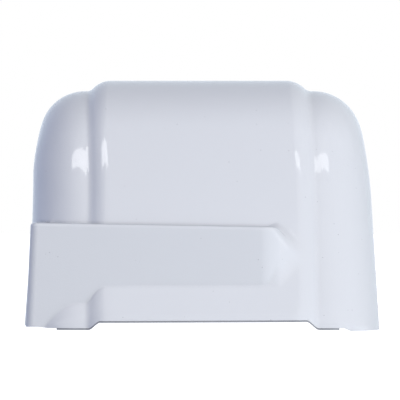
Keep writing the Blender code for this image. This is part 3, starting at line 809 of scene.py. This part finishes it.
def build_floor():
    """A pale floor, white to the camera from above and out of its way from below."""
    mesh = bpy.data.meshes.new("floor")
    corners = [(x * FLOOR_REACH, y * FLOOR_REACH, 0.0) for x, y in ((-1, -1), (1, -1), (1, 1), (-1, 1))]
    mesh.from_pydata(corners, [], [(0, 1, 2, 3)])
    floor = new_object("floor", mesh)
    floor.location.z = BASE_HEIGHT + FLOOR_HEIGHT
    look, tree, shader = new_material("floor_white")
    path = tree.nodes.new("ShaderNodeLightPath").outputs["Is Camera Ray"]
    feed(tree, shader.inputs["Base Color"], (0.55, 0.55, 0.56, 1.0))
    feed(tree, shader.inputs["Roughness"], 0.9)
    feed(tree, shader.inputs["Emission Color"], (1.0, 1.0, 1.0, 1.0))
    feed(tree, shader.inputs["Emission Strength"], path)
    below = tree.nodes.new("ShaderNodeNewGeometry").outputs["Backfacing"]
    mix = tree.nodes.new("ShaderNodeMixShader")
    tree.links.new(math_node(tree, "MULTIPLY", below, path), mix.inputs[0])
    tree.links.new(shader.outputs[0], mix.inputs[1])
    tree.links.new(tree.nodes.new("ShaderNodeBsdfTransparent").outputs[0], mix.inputs[2])
    tree.links.new(mix.outputs[0], tree.nodes["Material Output"].inputs["Surface"])
    mesh.materials.append(look)


def around_cap(azimuth, elevation, distance):
    """A place seen from the cap's middle at that azimuth (right of the camera) and elevation."""
    turn, lift = math.radians(azimuth), math.radians(elevation)
    out = Vector((math.sin(turn) * math.cos(lift), -math.cos(turn) * math.cos(lift), math.sin(lift)))
    return CAP_MIDDLE + out * distance


def area_light(name, place, target, size, power, colour=(1.0, 1.0, 1.0), roll=0.0):
    """A softbox at a place, facing its target and rolled about the line between them."""
    light = bpy.data.lights.new(name, "AREA")
    light.shape = "RECTANGLE"
    light.size, light.size_y = size
    light.energy = power
    light.color = colour
    holder = bpy.data.objects.new(name, light)
    bpy.context.scene.collection.objects.link(holder)
    holder.location = place
    facing = (place - target).to_track_quat("Z", "Y") @ Quaternion((0.0, 0.0, 1.0), math.radians(roll))
    holder.rotation_euler = facing.to_euler()
    holder.visible_camera = False
    return holder


def build_lights():
    """Two softboxes on the right, and a small strip over each shoulder that only shows as its highlight."""
    key_place, side_place = around_cap(43.0, 10.0, SOFTBOX_DISTANCE), around_cap(85.0, 0.0, SOFTBOX_DISTANCE)
    key = area_light("key", key_place, CAP_MIDDLE, SOFTBOX_SIZE, 45.0, (0.88, 0.96, 1.0))
    key.visible_glossy = False
    area_light("side", side_place, CAP_MIDDLE, SOFTBOX_SIZE, 12.0)
    lift = Vector((0.0, 0.0, BASE_HEIGHT))
    for name, wing, place, size, power, roll in WING_STRIPS:
        strip = area_light(name, Vector(place) + lift, Vector(wing) + lift, size, power, roll=roll)
        strip.visible_diffuse = False


def build_world():
    """Soft lobes of light around the cap, and plain white to the camera."""
    world = bpy.data.worlds.new("studio")
    bpy.context.scene.world = world
    world.use_nodes = True
    tree = world.node_tree
    link = tree.links.new
    direction = tree.nodes.new("ShaderNodeTexCoord").outputs["Generated"]
    total = None
    for towards, tightness, colour in SURROUNDINGS:
        facing = vector_node(tree, "DOT_PRODUCT", direction, towards)
        level = math_node(tree, "POWER", math_node(tree, "MAXIMUM", facing, 0.0), tightness)
        lobe = vector_node(tree, "SCALE", colour, level)
        total = lobe if total is None else vector_node(tree, "ADD", total, lobe)
    surroundings = tree.nodes["Background"]
    seen = add_node(tree, "ShaderNodeBackground", Color=(1.0, 1.0, 1.0, 1.0))
    path = tree.nodes.new("ShaderNodeLightPath")
    mix = tree.nodes.new("ShaderNodeMixShader")
    link(total, surroundings.inputs["Color"])
    link(path.outputs["Is Camera Ray"], mix.inputs[0])
    link(surroundings.outputs[0], mix.inputs[1])
    link(seen.outputs[0], mix.inputs[2])
    link(mix.outputs[0], tree.nodes["World Output"].inputs["Surface"])


def build_camera():
    """A long lens level with the middle of the front."""
    camera = bpy.data.cameras.new("camera")
    camera.lens = CAMERA_LENS
    camera.clip_end = CAMERA_CLIP
    holder = bpy.data.objects.new("camera", camera)
    bpy.context.scene.collection.objects.link(holder)
    holder.location = (CAMERA_SIDE, -CAMERA_DISTANCE, BASE_HEIGHT + CAMERA_HEIGHT)
    holder.rotation_euler = (math.pi / 2.0, 0.0, 0.0)
    bpy.context.scene.camera = holder


def finish_piece(piece, look, slot, body, *nodes):
    """Gives a new piece its material and the body it rides on, and hides the nodes it replaces. The slot is
    not used.
    """
    piece.data.materials.append(look)
    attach(piece, body)
    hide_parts(*nodes)


def build_fixings(cover, steel):
    """The cup, the screw and the lid of each fixing through the side walls."""
    for name, place, turn in fixings():
        rise = Vector((LID_SEAT, 0.0, LID_HINGE))
        pieces = (
            (build_cup(f"cup_{name}"), cover, "cover_white_plastic", "cap", "screw_cup"),
            (build_shell_screw(f"pan_screw_{name}"), steel, "zinc_steel", "cap", "shell_screw"),
            (build_lid(f"flip_lid_{name}"), cover, "cover_white_plastic", f"lid_{name}", "screw_lid"),
        )
        for piece, look, slot, body, node in pieces:
            piece.rotation_euler = turn
            offset = piece.rotation_euler.to_matrix() @ rise if node == "screw_lid" else Vector()
            piece.location = Vector(place) + offset
            finish_piece(piece, look, slot, body, f"{node}_{name}")


def build_post_screws(steel):
    """A coach screw standing in each of the washers on the bridge."""
    for name in CORNERS:
        low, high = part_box(f"post_washer_{name}")
        screw = build_post_screw(f"coach_screw_{name}")
        screw.location = ((low.x + high.x) / 2.0, (low.y + high.y) / 2.0, high.z + WASHER_GAP)
        screw.rotation_euler = (0.0, -math.pi / 2.0, 0.0)
        finish_piece(screw, steel, "zinc_steel", "cap", f"post_screw_{name}")


def dress(look, *nodes):
    """Gives CAD nodes that keep their shape their finished material."""
    for node in nodes:
        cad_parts[node].material_slots[0].material = look


finish_piece(build_shell(), abs_material(), "gloss_white_abs", "cap", "cap_shell")
seal_look = rubber_material("seal_rubber", (0.36, 0.37, 0.39), 0.55, 900.0)
for side, facing in (("front", -1.0), ("rear", 1.0)):
    seal = build_seal(f"seal_strip_{side}", facing)
    finish_piece(seal, seal_look, "black_rubber", "cap", f"edge_seal_{side}")
zinc = zinc_material()
build_fixings(cover_material(), zinc)
build_post_screws(zinc)
dress(galvanised_material(), "mount_bridge")
dress(rubber_material("pad_rubber_look", (0.035, 0.035, 0.037), 0.7, 350.0), "head_pad")
dress(zinc, *[f"post_washer_{name}" for name in CORNERS], *[f"leg_nut_{name}" for name in CORNERS])
dress(nylon_material(), *[f"wall_spacer_{name}" for name in CORNERS])
build_floor()
build_world()
build_lights()
build_camera()
bpy.context.scene.view_settings.view_transform = "Standard"
